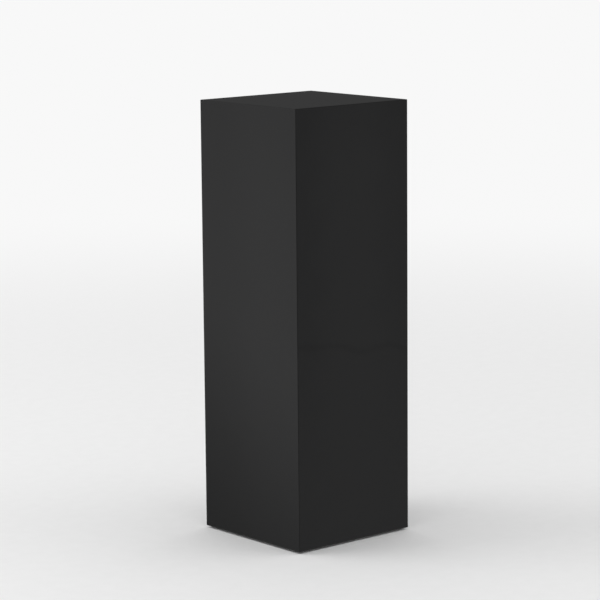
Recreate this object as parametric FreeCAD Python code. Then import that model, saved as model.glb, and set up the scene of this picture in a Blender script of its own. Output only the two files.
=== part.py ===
"""Display plinth: a tall square MDF box, mitred on every corner, on four levelling feet.

The carcass is four side panels and a top, all 18 mm board, mitred, joined with biscuits and
lacquered.  Softwood posts and rails stiffen it inside, a brace sits in housings half way up, and
a base board is screwed up into the bottom rails.  A tee nut in the base board takes each
levelling foot: a threaded stud that turns in a nylon pad with a rubber sole.

Frame: +Z up, front towards -Y, origin on the floor under the plinth's centre.  Millimetres.
"""

import FreeCAD
import Part

import math
import os
from collections import namedtuple

from FreeCAD import Placement, Rotation, Vector

# ---------------------------------------------------------------- driving dimensions

# Overall size, from the soles of the feet to the top
width = 300.0  # along X
depth = 300.0  # along Y
height = 900.0
foot_gap = 4.0  # daylight under the carcass, with the feet as set

# Boards
board = 18.0  # side panels and top
arris = 1.5  # radius of the softened outer edges
base_board = 18.0
base_clearance = 0.5  # base board to side panel
brace_board = 12.0
housing_depth = 5.0  # groove in each side panel for the brace
housing_clearance = 0.25  # bottom of the groove to the brace
notch_clearance = 0.5  # brace to post

# Softwood battens: posts and rails are cut from the same stock
batten = 38.0
batten_arris = 1.5

# Biscuits, and the slots that a biscuit cutter leaves for them
biscuit_thickness = 4.0
biscuit_length = 56.0
biscuit_half_width = 11.5
cutter_radius = 50.0
slot_depth = 12.0
slot_cover = 3.5  # board left along the mitre between a slot and the inside corner
corner_biscuits = 4  # in each upright corner
corner_biscuit_inset = 90.0  # first biscuit from each end of the corner
top_biscuit_inset = 80.0  # from the ends of each top edge

# Countersunk wood screws
screw_radius = 2.0
screw_head_radius = 4.0
screw_head_rim = 0.3
screw_tip = 5.0
screw_clearance = 0.25  # shank in the piece that the head pulls down
screw_cover = 6.0  # board left beyond a screw's tip
recess_span = 4.6  # cross drive
recess_width = 1.0
recess_depth = 1.7
post_screws = 4  # up each face of a post
post_screw_inset = 100.0
post_screw_stagger = 25.0  # keeps a post's two rows apart
rail_side_screw_inset = 50.0  # from the ends of a rail
rail_upright_screw_inset = 20.0
base_screw_length = 40.0

# Levelling feet
stud_radius = 4.0  # M8
stud_pitch = 1.25
stud_chamfer = 0.8 * stud_pitch  # just past the root of the thread
hexagon_flats = 13.0
hexagon_height = 5.5
hexagon_gap = 0.5  # pad to hexagon
neck_radius = 3.5
neck_height = 2.1
button_radius = 5.0  # the end that turns in the pad
button_height = 3.4
pad_radius = 15.0
pad_rim = 2.5
pad_shoulder_radius = 8.0
pad_height = 8.5
pad_edge = 0.8
sole_radius = 13.0
sole_thickness = 2.5
sole_inset = 1.0  # how far the sole is let into the pad
sole_edge = 0.4
running_clearance = 0.05  # stud in tee nut, button in pad
lip_clearance = 0.1  # round the neck and over the button
foot_rise = foot_gap  # a foot goes up until the carcass stands on the floor
foot_drop = 12.0  # and down until the end of its stud is level with the tee nut
stop_clearance = 0.3  # hexagon to base board with the foot right up

# Tee nuts
tee_flange_radius = 11.0
tee_flange = 1.3
tee_barrel_wall = 0.95
tee_barrel_radius = stud_radius + running_clearance + tee_barrel_wall
tee_barrel = 13.0
tee_prongs = 4
tee_prong_length = 8.0
tee_prong_width = 3.0
tee_prong_place = 9.5
stud_hole_clearance = 1.5  # round and above the stud, inside a post

# ---------------------------------------------------------------- levels and places

inside_height = height - board  # underside of the top
pad_under = sole_thickness - sole_inset
pad_top = pad_under + pad_height
hexagon_under = pad_top + hexagon_gap
hexagon_top = hexagon_under + hexagon_height
button_top = hexagon_under - neck_height
button_under = button_top - button_height
base_under = hexagon_top + foot_rise + stop_clearance
base_top = base_under + base_board
stud_top = base_top + foot_drop
brace_level = (base_top + inside_height) / 2
slot_place = board * math.sqrt(2) - slot_cover - biscuit_thickness / 2
batten_screw_length = batten + board - screw_cover

# A side is drawn as the front and turned to its place: its span runs along X, and its outer
# face is half its reach from the centre.  Each side names the corner at its right-hand end.
Side = namedtuple("Side", "turn span reach corner")
SIDES = {
    "front": Side(0, width, depth, "front_right"),
    "right": Side(90, depth, width, "back_right"),
    "back": Side(180, width, depth, "back_left"),
    "left": Side(270, depth, width, "front_left"),
}
UP = Vector(0, 0, 1)
OUT = Vector(0, -1, 0)


def turned(shape, side):
    """The shape, drawn on the front, turned to the side it belongs to."""
    return shape.rotated(Vector(), UP, side.turn)


def block(x, y, z):
    """A box between two values on each axis."""
    size = [high - low for low, high in (x, y, z)]
    return Part.makeBox(*size, Vector(x[0], y[0], z[0]))


def prism(outline, z):
    """A solid whose flat outline is swept between two heights."""
    points = [Vector(x, y, z[0]) for x, y in outline]
    face = Part.Face(Part.makePolygon(points + points[:1]))
    return face.extrude(Vector(0, 0, z[1] - z[0]))


def turning(outline):
    """A solid of revolution about Z from (radius, height) points, which start and end on Z."""
    points = [Vector(radius, 0, z) for radius, z in outline]
    return Part.Face(Part.makePolygon(points + points[:1])).revolve(Vector(), UP, 360)


def spaced(first, last, count):
    """Evenly spaced places from first to last."""
    return [first + (last - first) * i / (count - 1) for i in range(count)]


def mirrored_pair(half, inset):
    """The two places that lie an inset in from the ends of a length of twice half."""
    return [inset - half, half - inset]


# ---------------------------------------------------------------- screws


def screw_form(length, cut_radius=screw_radius):
    """A screw's outside, head at the origin and pointing up Z, without its drive recess."""
    cone = screw_head_radius - cut_radius
    return turning(
        [
            (0, 0),
            (screw_head_radius, 0),
            (screw_head_radius, screw_head_rim),
            (cut_radius, screw_head_rim + cone),
            (cut_radius, length - screw_tip),
            (0, length),
        ]
    )


def drive_recess():
    """The cross that a driver fits, sunk from the head's top."""
    arms = [
        block((-a, a), (-b, b), (0, recess_depth))
        for a, b in ((recess_span / 2, recess_width / 2), (recess_width / 2, recess_span / 2))
    ]
    return arms[0].fuse(arms[1])


Screw = namedtuple("Screw", "head direction length side")


def screw_solid(screw, form):
    """A screw's form at its place."""
    shape = form.copy()
    shape.Placement = Placement(screw.head, Rotation(UP, screw.direction))
    return turned(shape, screw.side)


def screw_bodies(screws):
    """The screws themselves, one solid each."""
    recess = drive_recess()
    return [screw_solid(s, screw_form(s.length).cut(recess)) for s in screws]


def pilot_holes(screws):
    """Holes that the threads fill."""
    return [screw_solid(s, screw_form(s.length)) for s in screws]


def clearance_holes(screws):
    """Countersunk holes for the pieces that the heads pull down."""
    loose = screw_radius + screw_clearance
    return [screw_solid(s, screw_form(s.length, loose)) for s in screws]


def inside_face(side):
    """Y of a side panel's inner face, on the front."""
    return -side.reach / 2 + board


def rail_half(side):
    """Half the length of a rail, which runs between two posts."""
    return side.span / 2 - board - batten


def post_screw_places(side):
    """Screws out through both posts at the ends of a side into its panel."""
    rows = spaced(
        base_top + post_screw_inset, inside_height - batten - post_screw_inset, post_screws
    )
    y = inside_face(side) + batten
    x = side.span / 2 - board - batten / 2
    return [
        Screw(Vector(end * x, y, z + lift), OUT, batten_screw_length, side)
        for end, lift in ((1, 0), (-1, post_screw_stagger))
        for z in rows
    ]


def rail_side_screw_places(side, z):
    """Screws out through a rail at height z into the side panel."""
    y = inside_face(side) + batten
    return [
        Screw(Vector(x, y, z), OUT, batten_screw_length, side)
        for x in mirrored_pair(rail_half(side), rail_side_screw_inset)
    ]


def top_screw_places(side):
    """Screws up through a top rail into the top."""
    y = inside_face(side) + batten / 2
    return [
        Screw(Vector(x, y, inside_height - batten), UP, batten_screw_length, side)
        for x in mirrored_pair(rail_half(side), rail_upright_screw_inset)
    ]


def base_screw_places(side):
    """Screws up through the base board into a base rail."""
    y = inside_face(side) + batten / 2
    return [
        Screw(Vector(x, y, base_under), UP, base_screw_length, side)
        for x in mirrored_pair(rail_half(side), rail_upright_screw_inset)
    ]


def all_sides(places, *arguments):
    """What a function gives for each side, in one list."""
    return [item for side in SIDES.values() for item in places(side, *arguments)]


POST_SCREWS = all_sides(post_screw_places)
TOP_RAIL_SIDE_SCREWS = all_sides(rail_side_screw_places, inside_height - batten / 2)
TOP_SCREWS = all_sides(top_screw_places)
BASE_RAIL_SCREWS = all_sides(rail_side_screw_places, base_top + batten / 2)
BASE_SCREWS = all_sides(base_screw_places)
PANEL_SCREWS = POST_SCREWS + TOP_RAIL_SIDE_SCREWS + BASE_RAIL_SCREWS

# ---------------------------------------------------------------- biscuits


def lens(reach, half_length=None):
    """A flat lens on XY between two arcs of the cutter, square-ended if half_length is given."""
    centre = cutter_radius - reach
    x = half_length or math.sqrt(cutter_radius**2 - centre**2)
    y = math.sqrt(cutter_radius**2 - x**2) - centre
    left, right = Vector(-x, y, 0), Vector(x, y, 0)
    edges = [Part.Arc(left, Vector(0, reach, 0), right).toShape()]
    if half_length:
        edges.append(Part.makeLine(right, Vector(x, -y, 0)))
        left, right = Vector(-x, -y, 0), Vector(x, -y, 0)
    edges.append(Part.Arc(right, Vector(0, -reach, 0), left).toShape())
    if half_length:
        edges.append(Part.makeLine(left, Vector(-x, y, 0)))
    half = biscuit_thickness / 2
    flat = Part.Face(Part.Wire(edges)).translated(Vector(0, 0, -half))
    return flat.extrude(Vector(0, 0, biscuit_thickness))


def on_corner(shape, side, z):
    """A lens set across the upright mitre at a side's right-hand end, long way up."""
    inwards = Vector(-1, 1, 0).normalize()
    place = Vector(side.span / 2, -side.reach / 2, z) + inwards * slot_place
    turn = Rotation(UP, Vector(1, 1, 0).normalize(), inwards, "ZXY")
    shape = shape.copy()
    shape.Placement = Placement(place, turn)
    return turned(shape, side)


def on_top_edge(shape, side, x):
    """A lens set across the mitre under a side's top edge, long way along it."""
    inwards = Vector(0, 1, -1).normalize()
    place = Vector(x, -side.reach / 2, height) + inwards * slot_place
    turn = Rotation(Vector(1, 0, 0), Vector(0, 1, 1).normalize(), -inwards, "ZXY")
    shape = shape.copy()
    shape.Placement = Placement(place, turn)
    return turned(shape, side)


def in_corners(shape):
    """A copy of the shape at each biscuit's place in the upright corners."""
    levels = spaced(
        foot_gap + corner_biscuit_inset, height - corner_biscuit_inset, corner_biscuits
    )
    return [on_corner(shape, side, z) for side in SIDES.values() for z in levels]


def in_top_edges(shape):
    """A copy of the shape at each biscuit's place along the top edges."""
    return [
        on_top_edge(shape, side, x)
        for side in SIDES.values()
        for x in mirrored_pair(side.span / 2, top_biscuit_inset)
    ]


def slots():
    """Every slot, cut across the mitres."""
    slot = lens(slot_depth)
    return in_corners(slot) + in_top_edges(slot)


def biscuit():
    """One pressed beech biscuit."""
    return lens(biscuit_half_width, biscuit_length / 2)


# ---------------------------------------------------------------- carcass


def carcass():
    """The whole outside of the box with softened edges, hollow and open underneath."""
    outside = block((-width / 2, width / 2), (-depth / 2, depth / 2), (foot_gap, height))
    outside = outside.makeFillet(arris, outside.Edges)
    x, y = width / 2 - board, depth / 2 - board
    return outside.cut(block((-x, x), (-y, y), (foot_gap - board, inside_height)))


def top_mitre():
    """Everything between the four mitre planes that run down and in from the top edges."""

    def square(offset, z):
        x, y = width / 2 - offset, depth / 2 - offset
        corners = [Vector(a, b, z) for a, b in ((-x, -y), (x, -y), (x, y), (-x, y))]
        return Part.makePolygon(corners + corners[:1])

    return Part.makeLoft([square(board, inside_height), square(-board, height + board)], True, True)


def side_wedge(side):
    """Everything between the two upright mitre planes at the ends of a side."""
    beyond, within = board, 2 * board
    face, half = -side.reach / 2, side.span / 2
    outline = [
        (-half - beyond, face - beyond),
        (half + beyond, face - beyond),
        (half - within, face + within),
        (-half + within, face + within),
    ]
    return turned(prism(outline, (0, height + board)), side)


def housing(side):
    """The stopped groove for the brace, with a cutter's round ends behind the posts."""
    half, radius = rail_half(side), brace_board / 2
    y = (inside_face(side) - housing_depth, inside_face(side))
    groove = block((-half, half), y, (brace_level - radius, brace_level + radius))
    for x in (-half, half):
        centre = Vector(x, y[0], brace_level)
        groove = groove.fuse(Part.makeCylinder(radius, housing_depth, centre, Vector(0, 1, 0)))
    return turned(groove.removeSplitter(), side)


def side_panel(side, shell, cuts):
    """One side panel, mitred on three edges."""
    blank = shell.common(side_wedge(side))
    mine = [c for c in cuts if c.BoundBox.intersect(blank.BoundBox)]
    return blank.cut([top_mitre(), housing(side)] + mine)


def top_panel(shell, cuts):
    """The top, mitred on all four edges."""
    return shell.common(top_mitre()).cut(cuts)


# ---------------------------------------------------------------- inside


def stick(x, y, z, axis):
    """A length of batten with its four long edges softened."""
    shape = block(x, y, z)
    long_edges = [
        e for e in shape.Edges if abs((e.Vertexes[1].Point - e.Vertexes[0].Point).dot(axis)) > 1e-6
    ]
    return shape.makeFillet(batten_arris, long_edges)


def foot_place(side):
    """The centre of the post, and of the foot under it, at a side's right-hand end."""
    return Vector(
        side.span / 2 - board - batten / 2, -side.reach / 2 + board + batten / 2, 0
    )


def corner_post(side, holes):
    """The post at a side's right-hand end, drilled from below for the top of the stud."""
    centre = foot_place(side)
    half = batten / 2
    post = stick(
        (centre.x - half, centre.x + half),
        (centre.y - half, centre.y + half),
        (base_top, inside_height),
        UP,
    )
    well = Part.makeCylinder(
        stud_radius + stud_hole_clearance,
        stud_top + foot_rise + stud_hole_clearance - base_top,
        Vector(centre.x, centre.y, base_top),
    )
    return turned(post.cut(well), side).cut(holes)


def rail(side, bottom, holes):
    """A rail between two posts, against the side panel."""
    y = inside_face(side)
    half = rail_half(side)
    shape = stick((-half, half), (y, y + batten), (bottom, bottom + batten), Vector(1, 0, 0))
    return turned(shape, side).cut(holes)


def brace():
    """The board half way up, housed in the side panels and notched round the posts."""
    into = housing_depth - housing_clearance
    x, y = width / 2 - board + into, depth / 2 - board + into
    z = (brace_level - brace_board / 2, brace_level + brace_board / 2)
    plate = block((-x, x), (-y, y), z)
    notch = into + batten + notch_clearance
    corners = [
        block(sorted((a * x, a * (x - notch))), sorted((b * y, b * (y - notch))), z)
        for a in (-1, 1)
        for b in (-1, 1)
    ]
    return plate.cut(corners)


def tee_nut(side, bore):
    """A pronged tee nut, its flange flush with the top of the base board."""
    barrel = Part.makeCylinder(tee_barrel_radius, tee_barrel, Vector(0, 0, -tee_barrel))
    flange = Part.makeCylinder(tee_flange_radius, tee_flange, Vector(0, 0, -tee_flange))
    prong = block(
        (tee_prong_place - tee_flange / 2, tee_prong_place + tee_flange / 2),
        (-tee_prong_width / 2, tee_prong_width / 2),
        (-tee_prong_length, 0),
    )
    prongs = [prong.rotated(Vector(), UP, 360 * i / tee_prongs) for i in range(tee_prongs)]
    shape = barrel.fuse([flange] + prongs).removeSplitter()
    if bore:
        shape = shape.cut(Part.makeCylinder(bore, tee_barrel, Vector(0, 0, -tee_barrel)))
    return turned(shape.translated(foot_place(side) + Vector(0, 0, base_top)), side)


def base_panel():
    """The base board, drilled for the tee nuts and countersunk underneath for its screws."""
    x, y = (size / 2 - board - base_clearance for size in (width, depth))
    plate = block((-x, x), (-y, y), (base_under, base_top))
    seats = [tee_nut(side, 0) for side in SIDES.values()]
    drilled = [
        turned(
            Part.makeCylinder(
                tee_barrel_radius, base_board, foot_place(side) + Vector(0, 0, base_under)
            ),
            side,
        )
        for side in SIDES.values()
    ]
    return plate.cut(seats + drilled + clearance_holes(BASE_SCREWS))


# ---------------------------------------------------------------- feet


def hexagon(flats, z):
    """A hexagonal bar about Z between two heights."""
    radius = flats / math.sqrt(3)
    corners = [math.radians(60 * i) for i in range(6)]
    return prism([(radius * math.cos(a), radius * math.sin(a)) for a in corners], z)


def foot_stud(side):
    """The threaded stud: button in the pad, neck, hexagon for a spanner, then the thread."""
    lower = turning(
        [
            (0, button_under),
            (button_radius, button_under),
            (button_radius, button_top),
            (neck_radius, button_top),
            (neck_radius, hexagon_under),
            (0, hexagon_under),
        ]
    )
    upper = turning(
        [
            (0, hexagon_top),
            (stud_radius, hexagon_top),
            (stud_radius, stud_top - stud_chamfer),
            (stud_radius - stud_chamfer, stud_top),
            (0, stud_top),
        ]
    )
    shape = hexagon(hexagon_flats, (hexagon_under, hexagon_top)).fuse([lower, upper])
    return turned(shape.translated(foot_place(side)), side)


def foot_pad(side):
    """The nylon pad: a wide rim, a sloping shoulder and the socket that the button snaps into."""
    shape = turning(
        [
            (0, pad_under),
            (pad_radius - pad_edge, pad_under),
            (pad_radius, pad_under + pad_edge),
            (pad_radius, pad_under + pad_rim),
            (pad_shoulder_radius, pad_top - pad_edge),
            (pad_shoulder_radius - pad_edge, pad_top),
            (0, pad_top),
        ]
    )
    socket = turning(
        [
            (0, button_under - running_clearance),
            (button_radius + running_clearance, button_under - running_clearance),
            (button_radius + running_clearance, button_top + lip_clearance),
            (neck_radius + lip_clearance, button_top + lip_clearance),
            (neck_radius + lip_clearance, pad_top + pad_edge),
            (0, pad_top + pad_edge),
        ]
    )
    seat = Part.makeCylinder(sole_radius, sole_inset, Vector(0, 0, pad_under))
    return turned(shape.cut([socket, seat]).translated(foot_place(side)), side)


def foot_sole(side):
    """The rubber disc that stands on the floor, let into the pad."""
    shape = turning(
        [
            (0, 0),
            (sole_radius - sole_edge, 0),
            (sole_radius, sole_edge),
            (sole_radius, sole_thickness),
            (0, sole_thickness),
        ]
    )
    return turned(shape.translated(foot_place(side)), side)


# ---------------------------------------------------------------- all the pieces


def pieces():
    """Every node's shape, by name."""
    made = {}
    shell = carcass()
    cuts = slots() + pilot_holes(PANEL_SCREWS)
    rail_holes = clearance_holes(TOP_RAIL_SIDE_SCREWS + TOP_SCREWS + BASE_RAIL_SCREWS)
    for name, side in SIDES.items():
        made[f"{name}_panel"] = side_panel(side, shell, cuts)
        made[f"top_rail_{name}"] = rail(side, inside_height - batten, rail_holes)
        made[f"base_rail_{name}"] = rail(side, base_top, rail_holes + pilot_holes(BASE_SCREWS))
        made[f"corner_post_{side.corner}"] = corner_post(side, clearance_holes(POST_SCREWS))
        made[f"tee_nut_{side.corner}"] = tee_nut(side, stud_radius + running_clearance)
        made[f"foot_stud_{side.corner}"] = foot_stud(side)
        made[f"foot_pad_{side.corner}"] = foot_pad(side)
        made[f"foot_sole_{side.corner}"] = foot_sole(side)
    made["top_panel"] = top_panel(shell, slots() + pilot_holes(TOP_SCREWS))
    made["mid_brace"] = brace()
    made["base_panel"] = base_panel()
    made["corner_biscuits"] = Part.makeCompound(in_corners(biscuit()))
    made["top_biscuits"] = Part.makeCompound(in_top_edges(biscuit()))
    made["post_screws"] = Part.makeCompound(screw_bodies(POST_SCREWS))
    made["top_rail_screws"] = Part.makeCompound(screw_bodies(TOP_RAIL_SIDE_SCREWS + TOP_SCREWS))
    made["base_rail_screws"] = Part.makeCompound(screw_bodies(BASE_RAIL_SCREWS))
    made["base_panel_screws"] = Part.makeCompound(screw_bodies(BASE_SCREWS))
    return made


def main():
    """Write one STEP file for each node."""
    os.makedirs("parts", exist_ok=True)
    for name, shape in sorted(pieces().items()):
        if not shape.isValid() or not all(solid.isClosed() for solid in shape.Solids):
            raise ValueError(f"{name} isn't a sound solid")
        shape.exportStep(f"parts/{name}.step")
        print(f"{name}: {len(shape.Solids)} solids, {shape.Volume / 1000:.2f} cm3")


main()
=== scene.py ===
"""The display plinth as it looks: lacquered boards, timber, fixings and feet in a pale studio.

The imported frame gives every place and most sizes.  Each sub-assembly is a class that builds its
pieces round the frame and dresses them, and each finish is a small class that makes a material.
Metres throughout, +Z up, the plinth's front towards -Y.
"""

import logging
import math
from collections.abc import Mapping, Sequence
from dataclasses import dataclass, field
from enum import Enum
from functools import cached_property, partial

import bmesh
import bpy
from mathutils import Euler, Matrix, Quaternion, Vector


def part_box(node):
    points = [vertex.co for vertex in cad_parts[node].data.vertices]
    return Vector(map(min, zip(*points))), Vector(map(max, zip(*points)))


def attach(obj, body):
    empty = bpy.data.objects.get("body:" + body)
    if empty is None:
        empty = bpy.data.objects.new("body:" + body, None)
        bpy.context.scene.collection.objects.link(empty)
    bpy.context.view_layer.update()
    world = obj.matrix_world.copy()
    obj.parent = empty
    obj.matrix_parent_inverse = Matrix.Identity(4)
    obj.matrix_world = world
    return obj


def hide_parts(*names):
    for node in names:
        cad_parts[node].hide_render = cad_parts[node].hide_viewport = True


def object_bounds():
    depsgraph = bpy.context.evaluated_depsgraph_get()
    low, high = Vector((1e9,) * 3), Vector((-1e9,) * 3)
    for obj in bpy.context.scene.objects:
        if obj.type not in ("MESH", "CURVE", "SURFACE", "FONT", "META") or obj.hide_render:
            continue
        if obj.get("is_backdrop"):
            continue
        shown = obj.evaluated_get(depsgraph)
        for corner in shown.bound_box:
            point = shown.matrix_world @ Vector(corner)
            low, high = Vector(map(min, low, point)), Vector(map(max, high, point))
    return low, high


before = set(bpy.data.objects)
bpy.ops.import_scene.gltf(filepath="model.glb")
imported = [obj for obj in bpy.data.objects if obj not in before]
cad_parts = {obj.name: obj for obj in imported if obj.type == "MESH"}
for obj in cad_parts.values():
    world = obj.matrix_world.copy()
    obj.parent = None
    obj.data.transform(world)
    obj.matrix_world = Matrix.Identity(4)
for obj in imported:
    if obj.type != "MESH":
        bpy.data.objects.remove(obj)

LOG = logging.getLogger("plinth")
MM = 0.001
MERGE = 1e-6
MITRE = math.pi / 4

Socket = bpy.types.NodeSocket
Object = bpy.types.Object
Tree = bpy.types.NodeTree
Material = bpy.types.Material
Value = float | Sequence[float] | Socket
Colour = tuple[float, float, float, float]
Place = tuple[Vector, Quaternion]
Loop = Sequence[bmesh.types.BMVert]


class Side(Enum):
    """A side of the box, counted in quarter turns from the front."""

    FRONT = 0
    RIGHT = 1
    BACK = 2
    LEFT = 3

    @property
    def turn(self) -> Matrix:
        """The turn about Z that carries the front to this side."""
        return Matrix.Rotation(self.value * math.pi / 2, 4, "Z")


class Corner(Enum):
    """A corner of the box, as the nodes name it."""

    FRONT_LEFT = "front_left"
    FRONT_RIGHT = "front_right"
    BACK_RIGHT = "back_right"
    BACK_LEFT = "back_left"


# ------------------------------------------------------------------ node trees


class Graph:
    """A node tree with short calls for adding nodes and joining them."""

    def __init__(self, tree: Tree) -> None:
        """Wrap a shader, world or geometry tree."""
        self.tree = tree

    def join(self, node: bpy.types.Node, key: str | int, value: object) -> None:
        """Link a socket to an input, or set the input to a plain value."""
        if isinstance(value, Socket):
            self.tree.links.new(value, node.inputs[key])
        else:
            node.inputs[key].default_value = value

    def node(
        self, kind: str, inputs: Mapping[str | int, object] | None = None, **settings: object
    ) -> bpy.types.Node:
        """Add a node.

        Args:
            kind: The node's type name.
            inputs: A value or a socket for each input that is set.
            **settings: The node's own properties.

        Returns:
            The new node.
        """
        made = self.tree.nodes.new(kind)
        for name, setting in settings.items():
            setattr(made, name, setting)
        for key, value in (inputs or {}).items():
            self.join(made, key, value)
        return made

    def math(self, operation: str, a: Value, b: Value = 0.0, clamp: bool = False) -> Socket:
        """Join two values by a maths operation, and return the result."""
        made = self.node("ShaderNodeMath", {0: a, 1: b}, operation=operation, use_clamp=clamp)
        return made.outputs[0]

    def total(self, first: Value, *others: Value) -> Socket:
        """Return the sum of several values."""
        for value in others:
            first = self.math("ADD", first, value)
        return first

    def product(self, first: Value, *others: Value) -> Socket:
        """Return the product of several values."""
        for value in others:
            first = self.math("MULTIPLY", first, value)
        return first

    def less(self, first: Value, second: Value, clamp: bool = False) -> Socket:
        """Return the first value less the second."""
        return self.math("SUBTRACT", first, second, clamp)

    def vector(self, operation: str, a: Value, b: Value = (0.0, 0.0, 0.0)) -> bpy.types.Node:
        """Join two vectors by a vector operation, and return the node."""
        return self.node("ShaderNodeVectorMath", {0: a, 1: b}, operation=operation)

    def split(self, vector: Value) -> tuple[Socket, ...]:
        """Return a vector's three components."""
        return tuple(self.node("ShaderNodeSeparateXYZ", {0: vector}).outputs)

    def combine(self, x: Value = 0.0, y: Value = 0.0, z: Value = 0.0) -> Socket:
        """Return the vector with these components."""
        return self.node("ShaderNodeCombineXYZ", {0: x, 1: y, 2: z}).outputs[0]

    def ease(self, value: Value, low: float, high: float, start: Value, end: Value) -> Socket:
        """Carry a value smoothly from one range to another.

        Args:
            value: What is carried over.
            low: Where the first range starts.
            high: Where the first range ends.
            start: What low, and anything under it, becomes.
            end: What high, and anything over it, becomes.

        Returns:
            The carried value.
        """
        inputs = {"Value": value, "From Min": low, "From Max": high, "To Min": start, "To Max": end}
        return self.node("ShaderNodeMapRange", inputs, interpolation_type="SMOOTHSTEP").outputs[0]

    def blend(self, factor: Value, first: Value, second: Value) -> Socket:
        """Blend two values by a factor, and return the value."""
        return self.node("ShaderNodeMix", {0: factor, 2: first, 3: second}).outputs[0]

    def tint(self, factor: Value, first: Value, second: Value) -> Socket:
        """Blend two colours by a factor, and return the colour."""
        made = self.node("ShaderNodeMix", {0: factor, 6: first, 7: second}, data_type="RGBA")
        return made.outputs[2]

    def grey(self, value: Value) -> Socket:
        """Return the grey of a brightness."""
        return self.node("ShaderNodeCombineColor", {0: value, 1: value, 2: value}).outputs[0]

    def noise(self, place: Value, scale: Value, detail: float = 2.0, rough: float = 0.5) -> Socket:
        """Return fractal noise at a place, from 0 to 1."""
        inputs = {"Vector": place, "Scale": scale, "Detail": detail, "Roughness": rough}
        return self.node("ShaderNodeTexNoise", inputs).outputs[0]

    def cells(self, place: Value, scale: Value) -> Socket:
        """Return the distance to the nearest of scattered points."""
        made = self.node("ShaderNodeTexVoronoi", {"Vector": place, "Scale": scale})
        return made.outputs["Distance"]

    def mapped(self, place: Value, **inputs: Value) -> Socket:
        """Return a place turned or scaled by a mapping node."""
        return self.node("ShaderNodeMapping", {"Vector": place, **inputs}).outputs[0]

    def object_place(self) -> Socket:
        """Return the place on the object, in metres."""
        return self.node("ShaderNodeTexCoord").outputs["Object"]

    def attribute(self, name: str, kind: str) -> Socket:
        """Return a named attribute of the geometry."""
        made = self.node("GeometryNodeInputNamedAttribute", {"Name": name}, data_type=kind)
        return made.outputs["Attribute"]

    def group(self, tree: Tree, **inputs: object) -> dict[str, Socket]:
        """Place a shader node group with its own values.

        Args:
            tree: The group.
            **inputs: A value or a socket for each named input, with _ for a space.

        Returns:
            The group's outputs by name.
        """
        made = self.node("ShaderNodeGroup", node_tree=tree)
        for key, value in inputs.items():
            self.join(made, key.replace("_", " "), value)
        return {socket.name: socket for socket in made.outputs}


class Group:
    """A node group with named inputs and outputs."""

    KINDS = {float: "NodeSocketFloat", int: "NodeSocketInt", tuple: "NodeSocketVector"}

    def __init__(self, name: str, kind: str = "ShaderNodeTree", **inputs: object) -> None:
        """Start the group.

        Args:
            name: The group's name.
            kind: ShaderNodeTree or GeometryNodeTree.
            **inputs: Each input's default, or its socket type where it has none.  A _ in a name
                stands for a space.
        """
        tree = bpy.data.node_groups.new(name, kind)
        for key, default in inputs.items():
            bare = isinstance(default, str)
            socket_type = default if bare else self.KINDS[type(default)]
            made = tree.interface.new_socket(
                key.replace("_", " "), in_out="INPUT", socket_type=socket_type
            )
            if not bare:
                made.default_value = default
        self.graph = Graph(tree)
        outputs = self.graph.node("NodeGroupInput").outputs
        self.given = {key: outputs[key.replace("_", " ")] for key in inputs}

    def finish(self, socket_type: str = "NodeSocketFloat", **results: Socket) -> Tree:
        """Give the group its outputs.

        Args:
            socket_type: The type that the outputs have.
            **results: The socket behind each named output.

        Returns:
            The finished tree.
        """
        tree = self.graph.tree
        for name in results:
            tree.interface.new_socket(name, in_out="OUTPUT", socket_type=socket_type)
        end = self.graph.node("NodeGroupOutput")
        for name, socket in results.items():
            tree.links.new(socket, end.inputs[name])
        return tree


# ------------------------------------------------------------------ shared effects


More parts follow.
